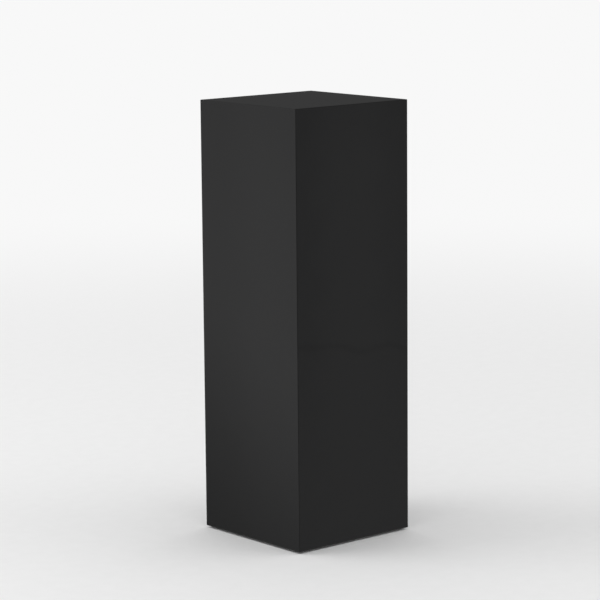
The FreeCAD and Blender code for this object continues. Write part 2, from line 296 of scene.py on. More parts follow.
class Effects:
    """The effects that the finishes share, each a shader node group that is built once."""

    def __init__(self) -> None:
        """Build every group."""
        self.arris_wear = self._arris_wear()
        self.dust = self._dust()
        self.smears = self._smears()
        self.peel = self._peel()
        self.timber = self._timber()
        self.fibre = self._fibre()
        self.moulding = self._moulding()
        self.plating = self._plating()

    @staticmethod
    def _arris_wear() -> Tree:
        """Build the group for rubbing along the edges of an upright box about the Z axis."""
        made = Group("arris_wear", Half_Width=0.15, Bottom=0.0, Top=0.9, Reach=0.003, Patches=14.0)
        graph, given = made.graph, made.given
        place = graph.object_place()
        x, y, z = graph.split(place)
        inset = [graph.less(given["Half_Width"], graph.math("ABSOLUTE", axis)) for axis in (x, y)]
        from_end = graph.math(
            "MINIMUM", graph.less(given["Top"], z), graph.less(z, given["Bottom"])
        )
        upright = graph.math("MAXIMUM", *inset)
        level = graph.math("MAXIMUM", graph.math("MINIMUM", *inset), from_end)
        share = graph.math("DIVIDE", graph.math("MINIMUM", upright, level), given["Reach"])
        patches = graph.ease(graph.noise(place, given["Patches"], 4.0, 0.65), 0.42, 0.66, 0.0, 1.0)
        return made.finish(Mask=graph.product(graph.less(1.0, share, clamp=True), patches))

    @staticmethod
    def _dust() -> Tree:
        """Build the group for the film and the specks that settle on what faces up."""
        made = Group("dust", Film=0.3, Specks=0.5, Speck_Scale=420.0)
        graph, given = made.graph, made.given
        place = graph.object_place()
        up = graph.split(graph.node("ShaderNodeNewGeometry").outputs["Normal"])[2]
        facing = graph.ease(up, 0.6, 0.95, 0.0, 1.0)
        film = graph.product(graph.noise(place, 9.0, 5.0, 0.6), given["Film"])
        specks = graph.ease(graph.cells(place, given["Speck_Scale"]), 0.08, 0.2, 1.0, 0.0)
        sparse = graph.ease(graph.noise(place, 70.0, 2.0), 0.58, 0.72, 0.0, 1.0)
        settled = graph.total(film, graph.product(specks, sparse, given["Specks"]))
        return made.finish(Mask=graph.math("MULTIPLY", facing, settled, clamp=True))

    @staticmethod
    def _smears() -> Tree:
        """Build the group for faint smears where hands and cloths have been."""
        made = Group("smears", Height=0.7, Spread=0.4, Scale=7.0)
        graph, given = made.graph, made.given
        place = graph.object_place()
        wiped = graph.noise(graph.mapped(place, Scale=(1.0, 1.0, 0.35)), given["Scale"], 6.0, 0.62)
        away = graph.math("ABSOLUTE", graph.less(graph.split(place)[2], given["Height"]))
        near = graph.less(1.0, graph.math("DIVIDE", away, given["Spread"]), clamp=True)
        return made.finish(Mask=graph.product(graph.ease(wiped, 0.48, 0.72, 0.0, 1.0), near))

    @staticmethod
    def _peel() -> Tree:
        """Build the group for the fine orange peel of a sprayed coat."""
        made = Group("peel", Scale=160.0, Fine=0.3)
        graph, given = made.graph, made.given
        place = graph.object_place()
        broad = graph.noise(place, given["Scale"], 1.0, 0.4)
        fine = graph.noise(place, graph.product(given["Scale"], 3.7), 1.0, 0.4)
        return made.finish(Height=graph.total(broad, graph.product(fine, given["Fine"])))

    @staticmethod
    def _timber() -> Tree:
        """Build the group for growth rings, fibre and knots of timber that is sawn along Z."""
        made = Group(
            "timber",
            Turn=(0.0, 0.0, 0.0),
            Pith=(0.03, -0.05, 0.0),
            Ring_Spacing=0.0032,
            Sweep=0.012,
            Fibre_Scale=700.0,
        )
        graph, given = made.graph, made.given
        turned = graph.mapped(graph.object_place(), Rotation=given["Turn"])
        along = graph.vector("ADD", turned, given["Pith"]).outputs[0]
        slow = graph.mapped(along, Scale=(1.0, 1.0, 0.12))
        wander = graph.node("ShaderNodeTexNoise", {"Vector": slow, "Scale": 9.0, "Detail": 2.0})
        centred = graph.vector("SUBTRACT", wander.outputs["Color"], (0.5, 0.5, 0.5)).outputs[0]
        bend = graph.vector("SCALE", centred)
        graph.join(bend, "Scale", given["Sweep"])
        x, y, _ = graph.split(graph.vector("ADD", along, bend.outputs[0]).outputs[0])
        squares = graph.total(graph.math("POWER", x, 2.0), graph.math("POWER", y, 2.0))
        turns = graph.math("DIVIDE", graph.math("SQRT", squares), given["Ring_Spacing"])
        share = graph.math("FRACT", turns)
        late = graph.product(
            graph.ease(share, 0.2, 0.85, 0.0, 1.0), graph.ease(share, 0.9, 1.0, 1.0, 0.0)
        )
        streaks = graph.mapped(along, Scale=(1.0, 1.0, 0.03))
        fibre = graph.noise(streaks, given["Fibre_Scale"], 3.0, 0.6)
        knots = graph.ease(graph.cells(slow, 9.0), 0.03, 0.12, 1.0, 0.0)
        height = graph.total(graph.product(late, 0.5), graph.product(fibre, 0.5))
        return made.finish(Rings=late, Fibre=fibre, Knots=knots, Height=height)

    @staticmethod
    def _fibre() -> Tree:
        """Build the group for the felted fibre and dark flecks of pressed board."""
        made = Group("fibre", Scale=420.0, Fleck_Scale=260.0, Flecks=0.5)
        graph, given = made.graph, made.given
        place = graph.object_place()
        felt = graph.noise(place, given["Scale"], 4.0, 0.7)
        cloudy = graph.noise(place, 22.0, 3.0, 0.5)
        tone = graph.total(graph.product(felt, 0.6), graph.product(cloudy, 0.4))
        flecks = graph.ease(graph.cells(place, given["Fleck_Scale"]), 0.12, 0.3, 1.0, 0.0)
        return made.finish(Tone=tone, Flecks=graph.product(flecks, given["Flecks"]), Height=felt)

    @staticmethod
    def _moulding() -> Tree:
        """Build the group for the fine grain and flow marks of a moulded piece."""
        made = Group("moulding", Scale=2600.0, Flow=0.3)
        graph, given = made.graph, made.given
        place = graph.object_place()
        grain = graph.noise(place, given["Scale"], 2.0, 0.6)
        flow = graph.product(graph.noise(place, 120.0, 3.0, 0.5), given["Flow"])
        return made.finish(Tone=graph.total(grain, flow), Height=grain)

    @staticmethod
    def _plating() -> Tree:
        """Build the group for the clouding and drawing lines of plated steel."""
        made = Group("plating", Scale=300.0, Scratches=0.5)
        graph, given = made.graph, made.given
        place = graph.object_place()
        cloud = graph.noise(place, given["Scale"], 4.0, 0.6)
        lines = graph.noise(graph.mapped(place, Scale=(1.0, 1.0, 14.0)), 700.0, 2.0, 0.7)
        scratches = graph.product(graph.ease(lines, 0.62, 0.7, 0.0, 1.0), given["Scratches"])
        return made.finish(Cloud=cloud, Scratches=scratches, Height=lines)


# ------------------------------------------------------------------ finishes


class Surface:
    """A material under construction: its graph and its Principled shader."""

    def __init__(self, name: str, **settings: float) -> None:
        """Start a material.

        Args:
            name: The material's name.
            **settings: The shader's uniform values, with _ for a space.
        """
        self.material = bpy.data.materials.new(name)
        self.material.use_nodes = True
        self.graph = Graph(self.material.node_tree)
        self.shader = self.material.node_tree.nodes["Principled BSDF"]
        for key, value in settings.items():
            self.shader.inputs[key.replace("_", " ")].default_value = value

    def feed(self, name: str, socket: Socket) -> None:
        """Join a socket to one of the shader's inputs."""
        self.graph.join(self.shader, name, socket)

    def lift(self, height: Socket, depth: float) -> None:
        """Raise the surface by a height that goes from 0 to 1, 1 being depth metres."""
        bump = self.graph.node("ShaderNodeBump", {"Height": height, "Distance": depth})
        self.feed("Normal", bump.outputs["Normal"])


@dataclass(frozen=True)
class BlackLacquer:
    """Sprayed black lacquer, rubbed down and polished to a soft gloss."""

    colour: Colour = (0.0052, 0.0052, 0.0054, 1.0)
    rubbed: Colour = (0.0095, 0.0090, 0.0085, 1.0)
    dusty: Colour = (0.20, 0.20, 0.19, 1.0)
    gloss: float = 0.018
    dull: float = 0.16
    peel_depth: float = 0.5e-6
    wear_reach: float = 2.2 * MM

    def material(self, effects: Effects) -> Material:
        """Make the material from the shared node groups, and return it."""
        made = Surface("black_lacquer", IOR=1.5)
        graph = made.graph
        _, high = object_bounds()
        wear = graph.group(
            effects.arris_wear,
            Half_Width=high[0],
            Bottom=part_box("front_panel")[0].z,
            Top=high[2],
            Reach=self.wear_reach,
        )["Mask"]
        dust = graph.group(effects.dust, Film=0.012, Specks=0.25)["Mask"]
        smears = graph.group(effects.smears)["Mask"]
        worn = graph.tint(wear, self.colour, self.rubbed)
        made.feed("Base Color", graph.tint(dust, worn, self.dusty))
        dulled = graph.total(graph.product(smears, 0.10), graph.product(wear, 0.8), dust)
        made.feed("Roughness", graph.ease(dulled, 0.0, 1.0, self.gloss, self.dull))
        made.lift(graph.group(effects.peel)["Height"], self.peel_depth)
        return made.material


@dataclass(frozen=True)
class BareBoard:
    """The sawn and sanded faces of medium-density board."""

    pale: Colour = (0.42, 0.285, 0.165, 1.0)
    deep: Colour = (0.30, 0.185, 0.098, 1.0)
    fleck: Colour = (0.115, 0.062, 0.030, 1.0)
    depth: float = 0.05 * MM

    def material(self, effects: Effects) -> Material:
        """Make the material from the shared node groups, and return it."""
        made = Surface("bare_board")
        graph = made.graph
        fibre = graph.group(effects.fibre)
        felt = graph.tint(graph.ease(fibre["Tone"], 0.3, 0.7, 0.0, 1.0), self.deep, self.pale)
        made.feed("Base Color", graph.tint(fibre["Flecks"], felt, self.fleck))
        made.feed("Roughness", graph.ease(fibre["Tone"], 0.2, 0.8, 0.78, 0.92))
        made.lift(fibre["Height"], self.depth)
        return made.material


@dataclass(frozen=True)
class PlanedPine:
    """Planed pine, each length from its own place in the tree."""

    turn: tuple[float, float, float] = (0.0, 0.0, 0.0)
    pith: tuple[float, float, float] = (0.03, -0.05, 0.0)
    early: Colour = (0.62, 0.425, 0.235, 1.0)
    late: Colour = (0.42, 0.22, 0.085, 1.0)
    knot: Colour = (0.15, 0.062, 0.024, 1.0)
    depth: float = 0.06 * MM

    def material(self, effects: Effects) -> Material:
        """Make the material from the shared node groups, and return it."""
        made = Surface("planed_pine")
        graph = made.graph
        timber = graph.group(effects.timber, Turn=self.turn, Pith=self.pith)
        rings = graph.tint(graph.product(timber["Rings"], 0.8), self.early, self.late)
        fibred = graph.tint(graph.ease(timber["Fibre"], 0.45, 0.75, 0.0, 0.3), rings, self.late)
        made.feed("Base Color", graph.tint(timber["Knots"], fibred, self.knot))
        made.feed("Roughness", graph.ease(timber["Rings"], 0.0, 1.0, 0.66, 0.5))
        made.lift(timber["Height"], self.depth)
        return made.material


@dataclass(frozen=True)
class PressedBeech:
    """Beech that is pressed thin, with the press's diamond pattern on its faces."""

    pale: Colour = (0.50, 0.31, 0.17, 1.0)
    deep: Colour = (0.33, 0.175, 0.085, 1.0)
    spacing: float = 1.6 * MM
    depth: float = 0.12 * MM

    def material(self, effects: Effects) -> Material:
        """Make the material from the shared node groups, and return it."""
        made = Surface("pressed_beech", Roughness=0.7)
        graph = made.graph
        timber = graph.group(effects.timber, Turn=(0.0, 0.0, math.pi / 4), Ring_Spacing=0.0016)
        made.feed("Base Color", graph.tint(timber["Fibre"], self.pale, self.deep))
        x, y, z = graph.split(graph.object_place())
        flat = graph.total(x, y)
        lines = [
            graph.math("PINGPONG", graph.math(operation, flat, z), self.spacing / 2)
            for operation in ("ADD", "SUBTRACT")
        ]
        nearest = graph.math("MINIMUM", *lines)
        made.lift(graph.ease(nearest, 0.0, self.spacing / 5, 0.0, 1.0), self.depth)
        return made.material


class Plating(Enum):
    """The colours that zinc plating is passivated to, bright and dim."""

    YELLOW = ((0.72, 0.55, 0.23, 1.0), (0.56, 0.45, 0.27, 1.0))
    CLEAR = ((0.66, 0.68, 0.71, 1.0), (0.50, 0.52, 0.56, 1.0))


@dataclass(frozen=True)
class PlatedSteel:
    """Zinc-plated steel, clouded and lightly scratched."""

    plating: Plating
    bright: float = 0.24
    clouded: float = 0.44
    depth: float = 0.01 * MM

    def material(self, effects: Effects) -> Material:
        """Make the material from the shared node groups, and return it."""
        made = Surface(f"{self.plating.name.lower()}_zinc", Metallic=1.0)
        graph = made.graph
        plating = graph.group(effects.plating)
        bright, dim = self.plating.value
        cloud = graph.ease(plating["Cloud"], 0.35, 0.65, 0.0, 1.0)
        made.feed("Base Color", graph.tint(cloud, bright, dim))
        dulled = graph.total(cloud, graph.product(plating["Scratches"], 0.6))
        made.feed("Roughness", graph.ease(dulled, 0.0, 1.2, self.bright, self.clouded))
        made.lift(plating["Height"], self.depth)
        return made.material


@dataclass(frozen=True)
class Moulded:
    """A moulded plastic or rubber, with the mould's fine grain."""

    name: str
    colour: Colour
    bloom: Colour
    smooth: float
    rough: float
    depth: float = 0.015 * MM

    def material(self, effects: Effects) -> Material:
        """Make the material from the shared node groups, and return it."""
        made = Surface(self.name)
        graph = made.graph
        moulding = graph.group(effects.moulding)
        dust = graph.group(effects.dust, Film=0.25, Specks=0.5)["Mask"]
        tone = graph.ease(moulding["Tone"], 0.4, 0.9, 0.0, 0.35)
        made.feed("Base Color", graph.tint(graph.total(tone, dust), self.colour, self.bloom))
        made.feed("Roughness", graph.ease(moulding["Tone"], 0.3, 0.9, self.smooth, self.rough))
        made.lift(moulding["Height"], self.depth)
        return made.material


NYLON = Moulded("black_nylon", (0.012, 0.012, 0.013, 1.0), (0.060, 0.060, 0.058, 1.0), 0.34, 0.52)
RUBBER = Moulded("sole_rubber", (0.020, 0.019, 0.018, 1.0), (0.085, 0.082, 0.076, 1.0), 0.72, 0.9)


# ------------------------------------------------------------------ making pieces


def plain_object(name: str, mesh: bpy.types.Mesh) -> Object:
    """Put a mesh in the scene as an object at the origin, and return the object."""
    made = bpy.data.objects.new(name, mesh)
    bpy.context.scene.collection.objects.link(made)
    return made


def object_from(name: str, shape: bmesh.types.BMesh) -> Object:
    """Turn a bmesh into an object at the origin, and return the object."""
    mesh = bpy.data.meshes.new(name)
    shape.to_mesh(mesh)
    shape.free()
    return plain_object(name, mesh)


def settled(source: Object, name: str) -> Object:
    """Replace an object by a plain mesh of what its modifiers make.

    Args:
        source: The object, which is removed.
        name: What the new object is called.

    Returns:
        The plain object.
    """
    depsgraph = bpy.context.evaluated_depsgraph_get()
    mesh = bpy.data.meshes.new_from_object(source.evaluated_get(depsgraph))
    bpy.data.objects.remove(source)
    mesh.name = name
    return plain_object(name, mesh)


def cut(target: Object, tool: Object) -> Object:
    """Cut one closed object out of another, and return the result."""
    modifier = target.modifiers.new("cut", "BOOLEAN")
    modifier.operation = "DIFFERENCE"
    modifier.solver = "EXACT"
    modifier.object = tool
    return settled(target, target.name)


def closed(shape: bmesh.types.BMesh) -> None:
    """Merge a closed shape's doubles, and turn its faces outwards."""
    bmesh.ops.remove_doubles(shape, verts=shape.verts, dist=MERGE)
    bmesh.ops.recalc_face_normals(shape, faces=list(shape.faces))


def wall(shape: bmesh.types.BMesh, lower: Loop, upper: Loop) -> None:
    """Join two loops of as many points by a wall of faces."""
    for i in range(len(lower)):
        j = (i + 1) % len(lower)
        shape.faces.new((lower[i], lower[j], upper[j], upper[i]))


def hand_over(piece: Object, body: str, node: str) -> None:
    """Tie a finished piece to the frame.

    Args:
        piece: The piece, at the origin.
        body: The body that it rides on.
        node: The node that it stands for.
    """
    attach(piece, body)
    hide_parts(node)
    LOG.info("%s: %d faces on %s", piece.name, len(piece.data.polygons), body)


def dress(node: str, material: Material) -> None:
    """Give a carried-over node its finish."""
    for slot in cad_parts[node].material_slots:
        slot.material = material
    LOG.info("%s: carried over in %s", node, material.name)


def centre_of(node: str) -> Vector:
    """Return the middle of a node's box."""
    low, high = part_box(node)
    return (low + high) / 2


def islands(node: str) -> list[tuple[list[Vector], Vector, Vector]]:
    """Return the points, the lowest corner and the highest corner of each solid in a node."""
    shape = bmesh.new()
    shape.from_mesh(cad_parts[node].data)
    bmesh.ops.remove_doubles(shape, verts=shape.verts, dist=MERGE)
    unseen = dict.fromkeys(shape.verts)
    found = []
    while unseen:
        reached = [unseen.popitem()[0]]
        for vertex in reached:
            for edge in vertex.link_edges:
                other = edge.other_vert(vertex)
                if other in unseen:
                    del unseen[other]
                    reached.append(other)
        points = [vertex.co.copy() for vertex in reached]
        low, high = (Vector([pick(c) for c in zip(*points)]) for pick in (min, max))
        found.append((points, low, high))
    shape.free()
    return sorted(found, key=lambda island: tuple(round(c, 4) for c in island[1]))


@dataclass(frozen=True)
class Ring:
    """One ring of a turned form, in millimetres.

    Attributes:
        radius: Its radius.
        level: Its height.
        thread: How deep a thread is cut into it.
        rib: How far its ribs stand out.
        milled: 1 where it is milled to a hexagon, otherwise 0.
    """

    radius: float
    level: float
    thread: float = 0.0
    rib: float = 0.0
    milled: float = 0.0


def run(start: Ring, end: Ring, count: int) -> list[Ring]:
    """Return evenly changing rings from one to another, both included."""
    names = ("radius", "level", "thread", "rib", "milled")
    spans = [(getattr(start, name), getattr(end, name)) for name in names]
    return [Ring(*(a + (b - a) * i / count for a, b in spans)) for i in range(count + 1)]


class Workshop:
    """Makes turned and repeated pieces with geometry nodes."""

    def __init__(self) -> None:
        """Build both trees."""
        self.turning = self._turning()
        self.setting_out = self._setting_out()

    @staticmethod
    def _swept_radius(made: Group, ring: Socket, form: Socket, share: Socket) -> Socket:
        """Shape one ring of a turning.

        Args:
            made: The tree.
            ring: The ring's radius and level, as a vector's x and z.
            form: Its thread, rib and milling.
            share: How far round it a point is, from 0 to 1.

        Returns:
            The point's distance from the axis.
        """
        graph, given = made.graph, made.given
        radius, _, level = graph.split(ring)
        thread, rib, milled = graph.split(form)
        turns = graph.math("FRACT", graph.less(graph.math("DIVIDE", level, given["Pitch"]), share))
        flank = graph.math("ABSOLUTE", graph.less(graph.product(turns, 2.0), 1.0))
        crest = graph.less(graph.product(flank, 1.5), 0.25, clamp=True)
        groove = graph.product(thread, graph.less(1.0, crest))
        around = graph.math("COSINE", graph.product(share, math.tau, given["Ribs"]))
        raised = graph.product(rib, graph.ease(around, 0.25, 0.8, 0.0, 1.0))
        swept = graph.total(graph.less(radius, groove), raised)
        sixth = graph.less(graph.math("FRACT", graph.product(share, 6.0)), 0.5)
        across = graph.math("COSINE", graph.product(sixth, math.tau / 6))
        flat = graph.math("DIVIDE", graph.product(given["Flats"], 0.5), across)
        return graph.blend(milled, swept, graph.math("MINIMUM", swept, flat))

    def _turning(self) -> Tree:
        """Build the tree that turns a profile about Z, with threads, ribs and flats."""
        made = Group(
            "turning",
            "GeometryNodeTree",
            Profile="NodeSocketGeometry",
            Segments=48,
            Pitch=1.25 * MM,
            Flats=13.0 * MM,
            Ribs=12,
            Sharp_Angle=0.6,
            Finish="NodeSocketMaterial",
        )
        graph, given = made.graph, made.given
        size = graph.node("GeometryNodeAttributeDomainSize", {"Geometry": given["Profile"]})
        around = graph.math("ADD", given["Segments"], 1.0)
        grid = graph.node(
            "GeometryNodeMeshGrid",
            {"Vertices X": size.outputs["Point Count"], "Vertices Y": around},
        )
        index = graph.node("GeometryNodeInputIndex").outputs[0]
        row = graph.math("FLOOR", graph.math("DIVIDE", graph.math("ADD", index, 0.5), around))
        column = graph.less(index, graph.product(row, around))
        share = graph.math("DIVIDE", column, given["Segments"])
        named = graph.attribute("form", "FLOAT_VECTOR")
        place = graph.node("GeometryNodeInputPosition").outputs[0]
        ring, form = (
            graph.node(
                "GeometryNodeSampleIndex",
                {"Geometry": given["Profile"], "Value": value, "Index": row},
                data_type="FLOAT_VECTOR",
            ).outputs[0]
            for value in (place, named)
        )
        radius = self._swept_radius(made, ring, form, share)
        angle = graph.product(share, math.tau)
        x, y = (graph.product(radius, graph.math(wave, angle)) for wave in ("COSINE", "SINE"))
        point = graph.combine(x, y, graph.split(ring)[2])
        swept = graph.node(
            "GeometryNodeSetPosition", {"Geometry": grid.outputs["Mesh"], "Position": point}
        )
        merged = graph.node(
            "GeometryNodeMergeByDistance", {"Geometry": swept.outputs[0], "Distance": MERGE}
        )
        flipped = graph.node("GeometryNodeFlipFaces", {"Mesh": merged.outputs[0]})
        corner = graph.node("GeometryNodeInputMeshEdgeAngle").outputs["Unsigned Angle"]
        sharp = graph.node(
            "FunctionNodeCompare", {0: corner, 1: given["Sharp_Angle"]}, operation="GREATER_THAN"
        )
        smooth = graph.node(
            "GeometryNodeSetShadeSmooth", {0: flipped.outputs[0], "Shade Smooth": True}
        )
        creased = graph.node(
            "GeometryNodeSetShadeSmooth",
            {0: smooth.outputs[0], "Selection": sharp.outputs[0], "Shade Smooth": False},
            domain="EDGE",
        )
        return self._dressed(made, creased.outputs[0])

    def _setting_out(self) -> Tree:
        """Build the tree that sets a copy of a form at every place, each with a random twist."""
        made = Group(
            "setting_out",
            "GeometryNodeTree",
            Places="NodeSocketGeometry",
            Form="NodeSocketObject",
            Twist=0.0,
            Seed=7,
            Finish="NodeSocketMaterial",
        )
        graph, given = made.graph, made.given
        form = graph.node("GeometryNodeObjectInfo", {"Object": given["Form"]})
        stance = graph.attribute("stance", "QUATERNION")
        copies = graph.node(
            "GeometryNodeInstanceOnPoints",
            {
                "Points": given["Places"],
                "Instance": form.outputs["Geometry"],
                "Rotation": stance,
            },
        )
        chance = graph.node("FunctionNodeRandomValue", {"Seed": given["Seed"]}, data_type="FLOAT")
        twist = graph.combine(z=graph.product(chance.outputs[1], given["Twist"]))
        turned = graph.node(
            "GeometryNodeRotateInstances", {"Instances": copies.outputs[0], "Rotation": twist}
        )
        return self._dressed(made, turned.outputs[0])

    @staticmethod
    def _dressed(made: Group, geometry: Socket) -> Tree:
        """End a tree: make its copies real, give them their finish, and return the tree."""
        graph = made.graph
        joined = graph.node("GeometryNodeRealizeInstances", {"Geometry": geometry})
        dressed = graph.node(
            "GeometryNodeSetMaterial",
            {"Geometry": joined.outputs[0], "Material": made.given["Finish"]},
        )
        return made.finish("NodeSocketGeometry", Result=dressed.outputs[0])

    @staticmethod
    def _grown(source: Object, tree: Tree, name: str, inputs: Mapping[str, object]) -> Object:
        """Run a tree on an object.

        Args:
            source: The object that the tree starts from, which is removed.
            tree: The geometry node tree.
            name: What the result is called.
            inputs: A value for each named input that is set.

        Returns:
            The result as a plain object.
        """
        modifier = source.modifiers.new(tree.name, "NODES")
        modifier.node_group = tree
        for socket in tree.interface.items_tree:
            if socket.in_out == "INPUT" and socket.name in inputs:
                modifier[socket.identifier] = inputs[socket.name]
        return settled(source, name)

    def turned(self, name: str, rings: Sequence[Ring], finish: Material, **inputs: float) -> Object:
        """Turn a form about Z.

        Args:
            name: What the form is called.
            rings: Its rings, from the bottom on the axis, out, up and back to the axis.
            finish: Its material.
            **inputs: The tree's other inputs, with _ for a space.

        Returns:
            The form, at the origin.
        """
        mesh = bpy.data.meshes.new(name)
        mesh.from_pydata([(ring.radius * MM, 0.0, ring.level * MM) for ring in rings], [], [])
        form = mesh.attributes.new("form", "FLOAT_VECTOR", "POINT")
        for ring, item in zip(rings, form.data):
            item.vector = (ring.thread * MM, ring.rib * MM, ring.milled)
        named = {key.replace("_", " "): value for key, value in inputs.items()}
        return self._grown(plain_object(name, mesh), self.turning, name, named | {"Finish": finish})

    def set_out(
        self, name: str, form: Object, places: Sequence[Place], finish: Material, twist: float = 0.0
    ) -> Object:
        """Set a copy of a form at every place, and remove the form.

        Args:
            name: What the result is called.
            form: The form, at the origin.
            places: Where each copy goes and how it is turned.
            finish: The material of them all.
            twist: The most that a copy is turned about its own Z, in radians.

        Returns:
            The copies as one object.
        """
        mesh = bpy.data.meshes.new(name)
        mesh.from_pydata([place for place, _ in places], [], [])
        stance = mesh.attributes.new("stance", "QUATERNION", "POINT")
        for (_, turn), item in zip(places, stance.data):
            item.value = turn
        inputs = {"Form": form, "Twist": twist, "Finish": finish}
        result = self._grown(plain_object(name, mesh), self.setting_out, name, inputs)
        bpy.data.objects.remove(form)
        return result


def cross_cutter(span: float, width: float, low: float, high: float) -> Object:
    """Make an upright cutter with a plus sign's section.

    Args:
        span: From tip to tip of an arm.
        width: Across an arm.
        low: The level of its underside.
        high: The level of its top.

    Returns:
        The cutter, about Z.
    """
    a, b = span / 2, width / 2
    turns = [Matrix.Rotation(i * math.pi / 2, 2) for i in range(4)]
    outline = [turn @ Vector(point) for turn in turns for point in ((a, -b), (a, b), (b, b))]
    shape = bmesh.new()
    under, over = ([shape.verts.new((*point, z)) for point in outline] for z in (low, high))
    shape.faces.new(under)
    shape.faces.new(over)
    wall(shape, under, over)
    closed(shape)
    return object_from("cross_cutter", shape)


# ------------------------------------------------------------------ carcass


@dataclass(frozen=True)
class Wave:
    """A long, shallow wave in a polished face.

    Attributes:
        height: How far it stands out.
        across: Its length along the face.
        up: Its length up the face.
        crest: Where along the face it crests.
        level: Where up the face it passes through nothing.
    """

    height: float
    across: float
    up: float
    crest: float
    level: float

    def at(self, x: float, z: float) -> float:
        """Return how far the face stands out at a place."""
        sideways = math.cos(math.tau * (x - self.crest) / self.across)
        return -self.height * sideways * math.sin(math.tau * (z - self.level) / self.up)


WAVES = {
    "front_panel": (
        Wave(0.024 * MM, 0.154, 0.12, 0.018, 0.391),
        Wave(0.008 * MM, 0.32, 0.21, 0.10, 0.62),
    ),
    "left_panel": (
        Wave(0.010 * MM, 0.26, 0.19, 0.05, 0.20),
        Wave(0.005 * MM, 0.11, 0.14, 0.02, 0.70),
    ),
    "right_panel": (
        Wave(0.014 * MM, 0.21, 0.15, -0.03, 0.33),
        Wave(0.006 * MM, 0.40, 0.27, 0.10, 0.10),
    ),
    "back_panel": (
        Wave(0.012 * MM, 0.18, 0.16, 0.07, 0.48),
        Wave(0.007 * MM, 0.30, 0.23, -0.10, 0.20),
    ),
    "top_panel": (Wave(0.006 * MM, 0.24, 0.20, 0.04, 0.06),),
}


@dataclass(frozen=True)
class Face:
    """The outside of a board that is drawn as the front: outwards along -Y, up along Z.

    Attributes:
        reach: How far it is from the centre.
        low: Where it starts.
        high: Where it ends.
        roll: How far its lower arris turns, in radians.
        inside: Where the board's inner face starts and ends.
        sealed: Whether its lower edge is lacquered too.
    """

    reach: float
    low: float
    high: float
    roll: float
    inside: tuple[float, float]
    sealed: bool


